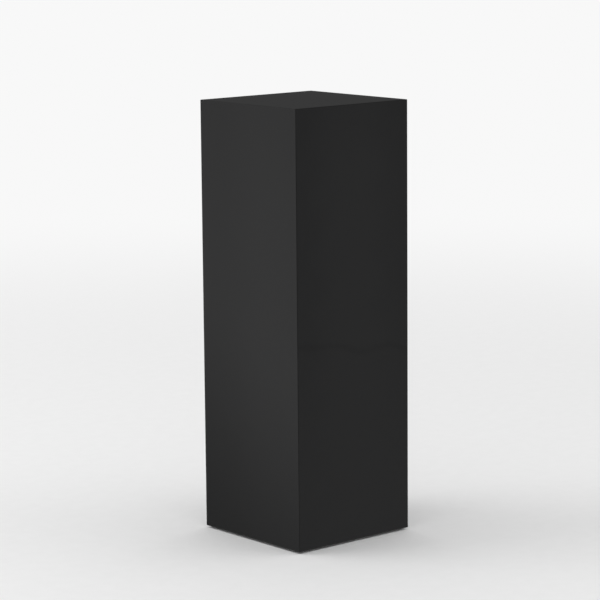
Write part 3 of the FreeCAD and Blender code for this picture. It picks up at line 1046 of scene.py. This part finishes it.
@dataclass(frozen=True)
class Carcass:
    """Five mitred boards and the biscuits in their joints."""

    arris: float = 1.5 * MM
    support: float = 0.4 * MM  # a line of mesh this far in from each arris keeps its shading tight
    spacing: float = 7.5 * MM
    arris_steps: int = 6
    waves: Mapping[str, tuple[Wave, ...]] = field(default_factory=lambda: WAVES)
    calm: float = 30 * MM  # the waves fade out this far in from each edge
    biscuit_length: float = 56 * MM
    biscuit_half_width: float = 11.5 * MM
    biscuit_thickness: float = 4 * MM
    biscuit_chamfer: float = 0.35 * MM
    cutter_radius: float = 50 * MM
    slot_reach: float = 12 * MM
    housing_clearance: float = 0.25 * MM
    housing_steps: int = 8
    lens_steps: int = 16

    @cached_property
    def half(self) -> float:
        """Half the box's width."""
        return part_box("right_panel")[1].x

    @cached_property
    def board(self) -> float:
        """The boards' thickness."""
        low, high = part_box("front_panel")
        return high.y - low.y

    def stations(
        self, low: float, high: float, first: float, last: float
    ) -> list[tuple[float, float]]:
        """Set out the lines of mesh across a face.

        Args:
            low: Where the face starts.
            high: Where it ends.
            first: How far the arris at its start turns, in radians.
            last: How far the arris at its end turns.

        Returns:
            Each line's place on the core that the arrises roll round, and its angle.
        """
        start, end = low + self.arris, high - self.arris
        in_steps, out_steps = (round(self.arris_steps * turn / MITRE) for turn in (first, last))
        rolled_in = [(start, first * (i / in_steps - 1)) for i in range(in_steps + 1)]
        rolled_out = [(end, last * i / out_steps) for i in range(out_steps + 1)]
        inner, span = start + self.support, end - start - 2 * self.support
        count = round(span / self.spacing)
        return rolled_in + [(inner + span * i / count, 0.0) for i in range(count + 1)] + rolled_out

    def swell(self, name: str, x: float, z: float, face: Face) -> float:
        """Return how far a board's face stands out at a place, fading out towards its ends."""
        edge = min(x + self.half, self.half - x, z - face.low, face.high - z)
        share = min(1.0, edge / self.calm)
        return share * share * (3 - 2 * share) * sum(wave.at(x, z) for wave in self.waves[name])

    def blank(self, name: str, face: Face) -> bmesh.types.BMesh:
        """Shape a mitred board, drawn as the front.

        Args:
            name: The board's name.
            face: Its outside.

        Returns:
            The closed board, its outside in the first finish and the rest in the second.
        """
        rows = self.stations(face.low, face.high, face.roll, MITRE)
        shape = bmesh.new()
        skin = []
        for x, a in self.stations(-self.half, self.half, MITRE, MITRE):
            line = []
            for z, b in rows:
                out = Vector((math.tan(a) * math.cos(b), -math.cos(b), math.sin(b))).normalized()
                swell = self.swell(name, x, z, face) if a == b == 0.0 else 0.0
                core = Vector((x, self.arris - face.reach, z))
                line.append(shape.verts.new(core + out * (self.arris + swell)))
            skin.append(line)
        for left, right in zip(skin, skin[1:]):
            for j in range(len(rows) - 1):
                shape.faces.new((left[j], right[j], right[j + 1], left[j + 1])).smooth = True
        x, y = self.half - self.board, self.board - face.reach
        low, high = face.inside
        inner = {(a, z): shape.verts.new((a * x, y, z)) for a in (-1, 1) for z in face.inside}
        lower_edge = (*(line[0] for line in skin), inner[1, low], inner[-1, low])
        bare = [
            (*skin[0], inner[-1, high], inner[-1, low]),
            (*skin[-1], inner[1, high], inner[1, low]),
            (*(line[-1] for line in skin), inner[1, high], inner[-1, high]),
            (inner[-1, low], inner[1, low], inner[1, high], inner[-1, high]),
        ]
        shape.faces.new(lower_edge).material_index = 0 if face.sealed else 1
        for loop in bare:
            shape.faces.new(loop).material_index = 1
        closed(shape)
        return shape

    def lens(self, reach: float, half_length: float, chamfer: float) -> bmesh.types.BMesh:
        """Shape a flat lens between two arcs: long way along X, thickness along Z.

        Args:
            reach: How far each arc stands from the long axis.
            half_length: Where its ends are cut square, if it is that long.
            chamfer: How far its edges are eased.

        Returns:
            The closed lens.
        """
        centre = self.cutter_radius - reach
        end = min(half_length, math.sqrt(self.cutter_radius**2 - centre**2))
        swing = math.asin(end / self.cutter_radius)
        angles = [swing * (2 * i / self.lens_steps - 1) for i in range(self.lens_steps + 1)]
        drop = Vector((0, centre))
        arc = [Vector((math.sin(t), math.cos(t))) * self.cutter_radius - drop for t in angles]
        outline = arc + [Vector((x, -y)) for x, y in reversed(arc)]
        half = self.biscuit_thickness / 2
        levels = ((-half, chamfer), (chamfer - half, 0.0), (half - chamfer, 0.0), (half, chamfer))
        shape = bmesh.new()
        rings = [
            [shape.verts.new((*(point * (1 - eased / reach)), z)) for point in outline]
            for z, eased in levels
        ]
        shape.faces.new(rings[0])
        shape.faces.new(rings[-1])
        for lower, upper in zip(rings, rings[1:]):
            wall(shape, lower, upper)
        closed(shape)
        return shape

    @staticmethod
    def biscuit_places(node: str) -> list[Place]:
        """Read where a node's biscuits lie.

        Args:
            node: The node that holds them.

        Returns:
            Each biscuit's middle, and the turn that lays a lens there.
        """
        places = []
        for _, low, high in islands(node):
            middle = (low + high) / 2
            away = Vector([math.copysign(1, c) for c in middle])
            if node == "corner_biscuits":
                along, inwards = Vector((0, 0, 1)), Vector((-away.x, -away.y, 0))
            elif abs(middle.y) > abs(middle.x):
                along, inwards = Vector((1, 0, 0)), Vector((0, -away.y, -1))
            else:
                along, inwards = Vector((0, 1, 0)), Vector((-away.x, 0, -1))
            inwards.normalize()
            turn = Matrix((along, inwards.cross(along), inwards)).transposed()
            places.append((middle, turn.to_quaternion()))
        return places

    def add_housings(self, tool: bmesh.types.BMesh) -> None:
        """Add the brace's four stopped grooves to a cutter."""
        low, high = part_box("mid_brace")
        radius, level = (high.z - low.z) / 2, (high.z + low.z) / 2
        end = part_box("corner_post_front_right")[0].x
        steps = self.housing_steps
        angles = [math.pi * (i / steps - 0.5) for i in range(steps + 1)]
        arc = [(end + radius * math.cos(t), radius * math.sin(t)) for t in angles]
        outline = [(sign * x, level + sign * z) for sign in (1, -1) for x, z in arc]
        for side in Side:
            outer, inner = (
                [tool.verts.new(side.turn @ Vector((x, y, z))) for x, z in outline]
                for y in (-high.y - self.housing_clearance, self.board - self.half + radius)
            )
            tool.faces.new(outer)
            tool.faces.new(inner)
            wall(tool, outer, inner)

    def slot_cutter(self) -> Object:
        """Make one cutter for every slot and every housing."""
        form = bpy.data.meshes.new("slot")
        lens = self.lens(self.slot_reach, self.cutter_radius, 0.0)
        lens.to_mesh(form)
        lens.free()
        tool = bmesh.new()
        for node in ("corner_biscuits", "top_biscuits"):
            for middle, turn in self.biscuit_places(node):
                slot = form.copy()
                slot.transform(Matrix.LocRotScale(middle, turn, None))
                tool.from_mesh(slot)
                bpy.data.meshes.remove(slot)
        bpy.data.meshes.remove(form)
        self.add_housings(tool)
        closed(tool)
        for face in tool.faces:
            face.material_index = 1
        return object_from("slot_cutter", tool)

    def build(self, workshop: Workshop, lacquer: Material, bare: Material, beech: Material) -> None:
        """Make the boards and the biscuits.

        Args:
            workshop: Sets out the biscuits.
            lacquer: The boards' outside.
            bare: Their mitres, slots and inside.
            beech: The biscuits.
        """
        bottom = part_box("front_panel")[0].z
        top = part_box("top_panel")[1].z
        inside = self.half - self.board
        upright = Face(self.half, bottom, top, math.pi / 2, (bottom, top - self.board), True)
        level = Face(top, -self.half, self.half, MITRE, (-inside, inside), False)
        boards = {f"{side.name.lower()}_panel": (upright, side.turn) for side in Side}
        boards["top_panel"] = (level, Matrix.Rotation(-math.pi / 2, 4, "X"))
        cutter = self.slot_cutter()
        for name, (face, turn) in boards.items():
            shape = self.blank(name, face)
            shape.transform(turn)
            panel = object_from(f"lacquered_{name}", shape)
            panel.data.materials.append(lacquer)
            panel.data.materials.append(bare)
            hand_over(cut(panel, cutter), "carcass", name)
        bpy.data.objects.remove(cutter)
        for node in ("corner_biscuits", "top_biscuits"):
            biscuit = self.lens(
                self.biscuit_half_width, self.biscuit_length / 2, self.biscuit_chamfer
            )
            form = object_from("biscuit", biscuit)
            made = workshop.set_out(f"beech_{node}", form, self.biscuit_places(node), beech)
            hand_over(made, "carcass", node)


# ------------------------------------------------------------------ framing


@dataclass(frozen=True)
class Framing:
    """The timber and the boards inside, whose shapes are the frame's own."""

    apart: float = 0.37  # how far apart along the tree two lengths come from
    pith: tuple[tuple[float, float, int], ...] = ((0.026, 0.006, 3), (0.034, -0.011, 4))

    def from_pith(self, i: int) -> Vector:
        """Return where a length's middle is in its tree, from the starts, steps and counts."""
        across = [start + step * (i % count) for start, step, count in self.pith]
        return Vector((*across, i * self.apart))

    def build(self, effects: Effects, bare: Material) -> None:
        """Dress the posts, the rails, the brace and the base board.

        Args:
            effects: The shared node groups.
            bare: The brace and the base board.
        """
        lengths = [(f"corner_post_{corner.value}", (0.0, 0.0, 0.0)) for corner in Corner]
        for side in Side:
            turn = (0.0, math.pi / 2, 0.0) if side.value % 2 == 0 else (math.pi / 2, 0.0, 0.0)
            lengths += [(f"{level}_rail_{side.name.lower()}", turn) for level in ("top", "base")]
        for i, (node, turn) in enumerate(lengths):
            centre = Euler(turn).to_matrix() @ centre_of(node)
            pith = tuple(self.from_pith(i) - centre)
            dress(node, PlanedPine(turn=turn, pith=pith).material(effects))
        for node in ("mid_brace", "base_panel"):
            dress(node, bare)


# ------------------------------------------------------------------ fixings


@dataclass(frozen=True)
class Fixings:
    """Countersunk wood screws with a cross drive, in millimetres."""

    radius: float = 2.0
    root: float = 1.85
    head_radius: float = 4.0
    head_rim: float = 0.3
    pitch: float = 1.8
    thread: float = 0.62
    plain: float = 0.34  # the share of a screw's length that has no thread
    tip: float = 5.0
    recess_span: float = 4.6
    recess_width: float = 1.0
    recess_depth: float = 1.7
    rim_ease: tuple[float, float] = (0.12, 0.1)  # inwards and downwards
    runout: float = 0.3
    blunt: tuple[float, float] = (0.12, 0.1)  # the tip's last radius and length
    rim_share: float = 0.9  # a point further out than this share of the head is on its rim
    segments: int = 20
    rows_per_turn: int = 5

    def rings(self, length: float) -> list[Ring]:
        """Set out a screw's profile, head at 0 and tip at its length."""
        neck = self.head_rim + self.head_radius - self.radius
        start = self.plain * length
        first = start + self.pitch
        last = length - self.tip
        rows = round((last - first) / self.pitch * self.rows_per_turn)
        tip_rows = round(self.tip / self.pitch * self.rows_per_turn)
        end = Ring(self.radius, last, self.thread)
        inwards, downwards = self.rim_ease
        blunt_radius, blunt_length = self.blunt
        return [
            Ring(0.0, 0.0),
            Ring(self.head_radius - inwards, 0.0),
            Ring(self.head_radius, downwards),
            Ring(self.head_radius, self.head_rim),
            Ring(self.radius, neck),
            Ring(self.root, neck + self.runout),
            Ring(self.root, start),
            *run(Ring(self.radius, first, self.thread), end, rows),
            *run(end, Ring(blunt_radius, length - blunt_length), tip_rows)[1:],
            Ring(0.0, length),
        ]

    def places(self, node: str) -> tuple[float, list[Place]]:
        """Read where a node's screws are.

        Args:
            node: The node that holds them.

        Returns:
            Their length in millimetres, and each head's place and the turn to its direction.
        """
        places = []
        length = 0.0
        for points, low, high in islands(node):
            size, middle = high - low, (low + high) / 2
            axis = max(range(3), key=lambda k: size[k])
            length = size[axis]
            wide = self.head_radius * MM * self.rim_share
            others = [k for k in range(3) if k != axis]
            rim = next(p for p in points if max(abs(p[k] - middle[k]) for k in others) > wide)
            sign = -1.0 if rim[axis] > middle[axis] else 1.0
            direction = Vector([sign if k == axis else 0.0 for k in range(3)])
            places.append((middle - direction * length / 2, direction.to_track_quat("Z", "Y")))
        return length / MM, places

    def build(self, workshop: Workshop, steel: Material) -> None:
        """Make every group of screws.

        Args:
            workshop: Turns and sets out the screws.
            steel: Their finish.
        """
        span, width, depth = (
            size * MM for size in (self.recess_span, self.recess_width, self.recess_depth)
        )
        for node in ("post_screws", "top_rail_screws", "base_rail_screws", "base_panel_screws"):
            length, places = self.places(node)
            screw = workshop.turned(
                "screw", self.rings(length), steel, Segments=self.segments, Pitch=self.pitch * MM
            )
            recess = cross_cutter(span, width, -depth, depth)
            screw = cut(screw, recess)
            bpy.data.objects.remove(recess)
            made = workshop.set_out(f"steel_{node}", screw, places, steel, twist=math.pi)
            hand_over(made, "carcass", node)


# ------------------------------------------------------------------ feet


@dataclass(frozen=True)
class LevellingFoot:
    """One levelling foot, in millimetres: sole, pad, stud and the tee nut that it turns in."""

    corner: Corner
    stud_radius: float = 4.0
    stud_pitch: float = 1.25
    thread: float = 0.72
    rows_per_turn: int = 8
    button_radius: float = 5.0
    button: tuple[float, float] = (5.0, 8.4)
    button_edge: float = 0.4
    neck_radius: float = 3.5
    hexagon_flats: float = 13.0
    hexagon: tuple[float, float] = (10.5, 16.0)
    hexagon_chamfer: float = 0.55
    hexagon_rows: int = 4
    hexagon_land: float = 0.6
    flat_spare: float = 0.05  # how far the turned form stands out past the milled flats
    corner_spare: float = 0.01  # and past their corners
    tip_taper: float = 0.8  # a share of the pitch
    pad: tuple[float, float] = (1.5, 10.0)
    pad_radius: float = 15.0
    pad_rim: float = 2.5
    shoulder_radius: float = 8.0
    edge: float = 0.8
    lip_edge: float = 0.3
    neck_fit: float = 0.1
    button_fit: float = 0.05
    rib: float = 0.7
    rib_rows: int = 4
    ribs: int = 12
    slit: float = 1.0
    slit_depth: float = 1.6
    slit_overrun: float = 1.0  # how far the cutter goes past the shoulder and the top
    sole_radius: float = 13.0
    sole_inset: float = 1.0
    sole_edge: float = 0.4
    groove_depth: float = 0.6
    grooves: tuple[float, ...] = (2.2, 5.0, 7.8, 10.6)

    def node(self, piece: str) -> str:
        """Return the name of one of this foot's nodes."""
        return f"{piece}_{self.corner.value}"

    @staticmethod
    def rounded(radius: float, level: float, inwards: float, upwards: float) -> list[Ring]:
        """Round a corner: three rings that leave a level for the wall, or the wall for a level.

        Args:
            radius: The wall's radius.
            level: The flat's level.
            inwards: How far in from the wall the rounding reaches.
            upwards: How far along the wall it reaches, below 0 for downwards.

        Returns:
            The rings from the flat to the wall.
        """
        return [
            Ring(radius - inwards, level),
            Ring(radius - inwards * 0.3, level + upwards * 0.3),
            Ring(radius, level + upwards),
        ]

    def stud_rings(self) -> list[Ring]:
        """Set out the stud: button, neck, hexagon and thread."""
        low, high = self.button
        under, over = self.hexagon
        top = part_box(self.node("foot_stud"))[1].z / MM
        corner = self.hexagon_flats / math.sqrt(3) + self.corner_spare
        flat = self.hexagon_flats / 2 + self.flat_spare
        land = flat - self.hexagon_land
        drop, pitch = self.hexagon_chamfer, self.stud_pitch
        r, e = self.stud_radius, self.button_edge
        full = Ring(r, over + 2 * pitch, self.thread)
        last = Ring(r, top - pitch, self.thread)
        rows = round((last.level - full.level) / pitch * self.rows_per_turn)
        milled = partial(Ring, milled=1.0)
        return [
            Ring(0, low),
            *self.rounded(self.button_radius, low, e, e),
            *self.rounded(self.button_radius, high, e, -e)[::-1],
            Ring(self.neck_radius, high),
            Ring(self.neck_radius, under),
            Ring(land, under),
            *run(milled(flat, under), milled(corner, under + drop), self.hexagon_rows),
            *run(milled(corner, over - drop), milled(flat, over), self.hexagon_rows),
            Ring(land, over),
            Ring(r, over),
            *run(Ring(r, over + pitch), full, self.rows_per_turn),
            *run(full, last, rows)[1:],
            *run(last, Ring(r - self.tip_taper * pitch, top), self.rows_per_turn)[1:],
            Ring(0, top),
        ]

    def pad_rings(self) -> list[Ring]:
        """Set out the pad: seat, rim, ribbed shoulder, collar and socket."""
        under, top = self.pad
        low, high = self.button
        seat = under + self.sole_inset
        r, e, s = self.pad_radius, self.edge, self.shoulder_radius
        lip, roof = self.neck_radius + self.neck_fit, high + self.neck_fit
        socket, bed = self.button_radius + self.button_fit, low - self.button_fit
        foot_of_ribs = Ring(r - 0.9, under + self.pad_rim + 0.55, rib=self.rib)
        return [
            Ring(0, seat),
            Ring(self.sole_radius, seat),
            Ring(self.sole_radius, under),
            *self.rounded(r, under, e, e),
            Ring(r, under + self.pad_rim - 0.2),
            Ring(r - 0.25, under + self.pad_rim + 0.1),
            *run(foot_of_ribs, Ring(s + 0.9, top - e - 0.7, rib=self.rib), self.rib_rows),
            Ring(s, top - e - 0.1),
            *self.rounded(s, top, e, -e)[::-1],
            Ring(lip + self.lip_edge, top),
            Ring(lip, top - self.lip_edge),
            Ring(lip, roof),
            Ring(socket, roof),
            Ring(socket, bed),
            Ring(0, bed),
        ]

    def sole_rings(self) -> list[Ring]:
        """Set out the sole, grooved underneath."""
        top = self.pad[0] + self.sole_inset
        groove = ((0.0, 0.0), (0.25, self.groove_depth), (0.95, self.groove_depth), (1.2, 0.0))
        cuts = [Ring(start + x, z) for start in self.grooves for x, z in groove]
        rim = self.rounded(self.sole_radius, 0.0, self.sole_edge, self.sole_edge)
        return [Ring(0, 0), *cuts, *rim, Ring(self.sole_radius, top), Ring(0, top)]

    def build(self, workshop: Workshop, zinc: Material, nylon: Material, rubber: Material) -> None:
        """Make the foot's pieces and dress its tee nut.

        Args:
            workshop: Turns the pieces.
            zinc: The stud and the tee nut.
            nylon: The pad.
            rubber: The sole.
        """
        centre = centre_of(self.node("foot_stud"))
        foot, stud = (f"{body}_{self.corner.value}" for body in ("foot", "stud"))
        pieces = (
            ("foot_stud", self.stud_rings(), zinc, stud, "zinc_steel"),
            ("foot_pad", self.pad_rings(), nylon, foot, "nylon"),
            ("foot_sole", self.sole_rings(), rubber, foot, "sole_rubber"),
        )
        for piece, rings, finish, body, slot in pieces:
            name = f"turned_{self.node(piece)}"
            pitch, flats = self.stud_pitch * MM, self.hexagon_flats * MM
            made = workshop.turned(name, rings, finish, Pitch=pitch, Flats=flats, Ribs=self.ribs)
            if piece == "foot_pad":
                span, top = 2 * (self.shoulder_radius + self.slit_overrun) * MM, self.pad[1] * MM
                low, high = top - self.slit_depth * MM, top + self.slit_overrun * MM
                slits = cross_cutter(span, self.slit * MM, low, high)
                made = cut(made, slits)
                bpy.data.objects.remove(slits)
            made.data.transform(Matrix.Translation((centre.x, centre.y, 0.0)))
            hand_over(made, body, self.node(piece))
        dress(self.node("tee_nut"), zinc)


# ------------------------------------------------------------------ studio


@dataclass(frozen=True)
class SoftBox:
    """A square light.

    Attributes:
        name: What it is called.
        place: Where it hangs.
        size: Its side.
        power: Its power in watts.
    """

    name: str
    place: tuple[float, float, float]
    size: float
    power: float


@dataclass(frozen=True)
class Lobe:
    """A stretch of the room that the gloss reflects, in degrees.

    Attributes:
        azimuth: Where its middle is.
        whole: How far round from there it is whole.
        gone: How far round it has faded out.
    """

    azimuth: float
    whole: float
    gone: float


@dataclass(frozen=True)
class Studio:
    """A plain pale floor, soft light and the camera."""

    floor_half: float = 40.0
    floor_shade: float = 0.86
    sweep_start: float = 1.2
    sweep_end: float = 5.0
    backdrop: float = 0.93
    soft_light: float = 0.86
    azimuth: float = math.radians(49.38)
    elevation: float = math.radians(9.53)
    roll: float = math.radians(0.497)
    distance: float = 5.317
    aim_right: float = -0.0106
    aim_height: float = 0.4852
    lens: float = 154.4
    sensor: float = 36.0
    boxes: tuple[SoftBox, ...] = (
        SoftBox("key_light", (-2.6, 2.2, 3.4), 2.4, 46.0),
        SoftBox("fill_light", (2.4, -2.8, 2.6), 2.8, 16.0),
    )
    lit_height: float = 0.4  # the level that the lights point at
    dark_corner: Lobe = Lobe(-133.0, 20.0, 36.0)
    lit_wall: Lobe = Lobe(130.6, 38.0, 62.0)
    plain_wall: Lobe = Lobe(-49.4, 26.0, 48.0)
    doorway: Lobe = Lobe(49.4, 30.0, 50.0)
    lit_edge: float = 220.6  # the azimuth that places on the lit wall are measured from
    plain_edge: float = 41.8  # and those on the plain wall

    def floor(self) -> None:
        """Lay the floor, which meets the backdrop without a line."""
        shape = bmesh.new()
        bmesh.ops.create_grid(shape, x_segments=1, y_segments=1, size=self.floor_half)
        floor = object_from("floor", shape)
        made = Surface("pale_floor", Roughness=0.9, Specular_IOR_Level=0.2, Emission_Strength=1.0)
        graph = made.graph
        place = graph.object_place()
        tone = graph.ease(graph.noise(place, 30.0, 5.0, 0.6), 0.3, 0.7, 0.985, 1.0)
        away = graph.vector("LENGTH", place).outputs["Value"]
        near = graph.ease(away, self.sweep_start, self.sweep_end, 1.0, 0.0)
        made.feed("Base Color", graph.grey(graph.product(tone, near, self.floor_shade)))
        made.feed("Emission Color", graph.grey(graph.product(graph.less(1.0, near), self.backdrop)))
        floor.data.materials.append(made.material)
        floor.visible_glossy = False
        floor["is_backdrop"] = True

    def camera(self) -> None:
        """Stand the camera where it sees two sides and the top."""
        a, e = self.azimuth, self.elevation
        forward = Vector((math.cos(a) * math.cos(e), math.sin(a) * math.cos(e), -math.sin(e)))
        right = forward.cross(Vector((0, 0, 1))).normalized()
        up = right.cross(forward)
        target = right * self.aim_right + Vector((0, 0, self.aim_height))
        c, s = math.cos(self.roll), math.sin(self.roll)
        turn = Matrix((right * c - up * s, right * s + up * c, -forward)).transposed().to_4x4()
        data = bpy.data.cameras.new("camera")
        data.lens = self.lens
        data.sensor_width = self.sensor
        camera = bpy.data.objects.new("camera", data)
        camera.matrix_world = Matrix.Translation(target - forward * self.distance) @ turn
        bpy.context.scene.collection.objects.link(camera)
        bpy.context.scene.camera = camera

    def lights(self) -> None:
        """Hang the soft boxes, which are themselves kept out of reflections."""
        for box in self.boxes:
            data = bpy.data.lights.new(box.name, "AREA")
            data.shape = "SQUARE"
            data.size = box.size
            data.energy = box.power
            light = bpy.data.objects.new(box.name, data)
            place = Vector(box.place)
            turn = (Vector((0, 0, self.lit_height)) - place).to_track_quat("-Z", "Y")
            light.matrix_world = Matrix.LocRotScale(place, turn, None)
            light.visible_glossy = False
            bpy.context.scene.collection.objects.link(light)

    @staticmethod
    def bearing(graph: Graph, heading: Socket, azimuth: float) -> Socket:
        """Return the cosine between a level heading and an azimuth in degrees."""
        turn = math.radians(azimuth)
        axis = (math.cos(turn), math.sin(turn), 0.0)
        return graph.vector("DOT_PRODUCT", heading, axis).outputs["Value"]

    def within(self, graph: Graph, heading: Socket, lobe: Lobe) -> Socket:
        """Return a lobe's mask, from 1 where it is whole to 0 where it is gone."""
        limits = [math.cos(math.radians(angle)) for angle in (lobe.gone, lobe.whole)]
        return graph.ease(self.bearing(graph, heading, lobe.azimuth), *limits, 0.0, 1.0)

    def room(self, graph: Graph, direction: Socket) -> Socket:
        """Draw what the gloss sees: a pale room, lit from one side, with a dark doorway.

        Args:
            graph: The world's graph.
            direction: Where the reflected ray goes.

        Returns:
            The room's brightness.
        """
        x, y, z = graph.split(direction)
        heading = graph.vector("NORMALIZE", graph.combine(x, y)).outputs[0]
        level = graph.ease(z, -0.6, -0.1, 0.30, 0.24)
        level = graph.product(level, graph.ease(z, 0.3, 0.6, 1.0, 0.5))
        level = graph.blend(self.within(graph, heading, self.dark_corner), level, 0.08)

        beside = self.bearing(graph, heading, self.lit_edge)
        slant = graph.product(graph.total(beside, 0.0195), 0.9)
        lit = graph.ease(graph.total(z, slant), -0.275, -0.17, 0.285, 0.557)
        lit = graph.product(lit, graph.ease(z, -0.135, -0.085, 1.0, 0.95))
        lit = graph.product(lit, graph.ease(beside, -0.034, -0.012, 0.9, 1.0))
        level = graph.blend(self.within(graph, heading, self.lit_wall), level, lit)

        aside = graph.math("ABSOLUTE", self.bearing(graph, heading, self.plain_edge))
        plain = graph.ease(z, -0.12, -0.085, 0.352, 0.325)
        skirting = graph.math("ABSOLUTE", graph.total(z, 0.184))
        edges = graph.product(
            graph.ease(aside, 0.004, 0.022, 0.0, 0.14), graph.ease(z, -0.24, -0.14, 0.3, 1.0)
        )
        wall_tone = graph.product(
            plain,
            graph.less(1.05, edges),
            graph.ease(skirting, 0.0004, 0.0014, 0.88, 1.0),
            graph.ease(z, 0.25, 0.55, 1.0, 0.25),
        )
        level = graph.blend(self.within(graph, heading, self.plain_wall), level, wall_tone)

        doorway = graph.ease(z, -0.02, 0.08, 0.45, 0.063)
        doorway = graph.total(doorway, graph.ease(z, 0.3, 0.7, 0.0, 0.12))
        return graph.blend(self.within(graph, heading, self.doorway), level, doorway)

    def world(self) -> None:
        """Light the room: soft white light, a pale backdrop, and what the gloss reflects."""
        world = bpy.data.worlds.new("studio")
        world.use_nodes = True
        world.node_tree.nodes.clear()
        graph = Graph(world.node_tree)
        direction = graph.node("ShaderNodeTexCoord").outputs["Generated"]
        path = graph.node("ShaderNodeLightPath").outputs
        soft = graph.blend(path["Is Glossy Ray"], self.soft_light, self.room(graph, direction))
        seen = graph.blend(path["Is Camera Ray"], soft, self.backdrop)
        shade = graph.node("ShaderNodeBackground", {"Color": graph.grey(seen), "Strength": 1.0})
        end = graph.node("ShaderNodeOutputWorld")
        graph.tree.links.new(shade.outputs[0], end.inputs["Surface"])
        bpy.context.scene.world = world

    def build(self) -> None:
        """Set the whole studio up."""
        self.camera()
        self.floor()
        self.lights()
        self.world()
        bpy.context.scene.view_settings.view_transform = "Standard"
        LOG.info("studio: camera, floor and lights")


def main() -> None:
    """Build the plinth round the frame."""
    logging.basicConfig(level=logging.INFO, format="%(name)s %(message)s")
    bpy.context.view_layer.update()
    Studio().build()
    effects = Effects()
    workshop = Workshop()
    bare = BareBoard().material(effects)
    zinc = PlatedSteel(Plating.CLEAR).material(effects)
    nylon = NYLON.material(effects)
    rubber = RUBBER.material(effects)
    lacquer = BlackLacquer().material(effects)
    beech = PressedBeech().material(effects)
    Carcass().build(workshop, lacquer, bare, beech)
    Framing().build(effects, bare)
    Fixings().build(workshop, PlatedSteel(Plating.YELLOW).material(effects))
    for corner in Corner:
        LevellingFoot(corner).build(workshop, zinc, nylon, rubber)


if __name__ == "__main__":
    main()
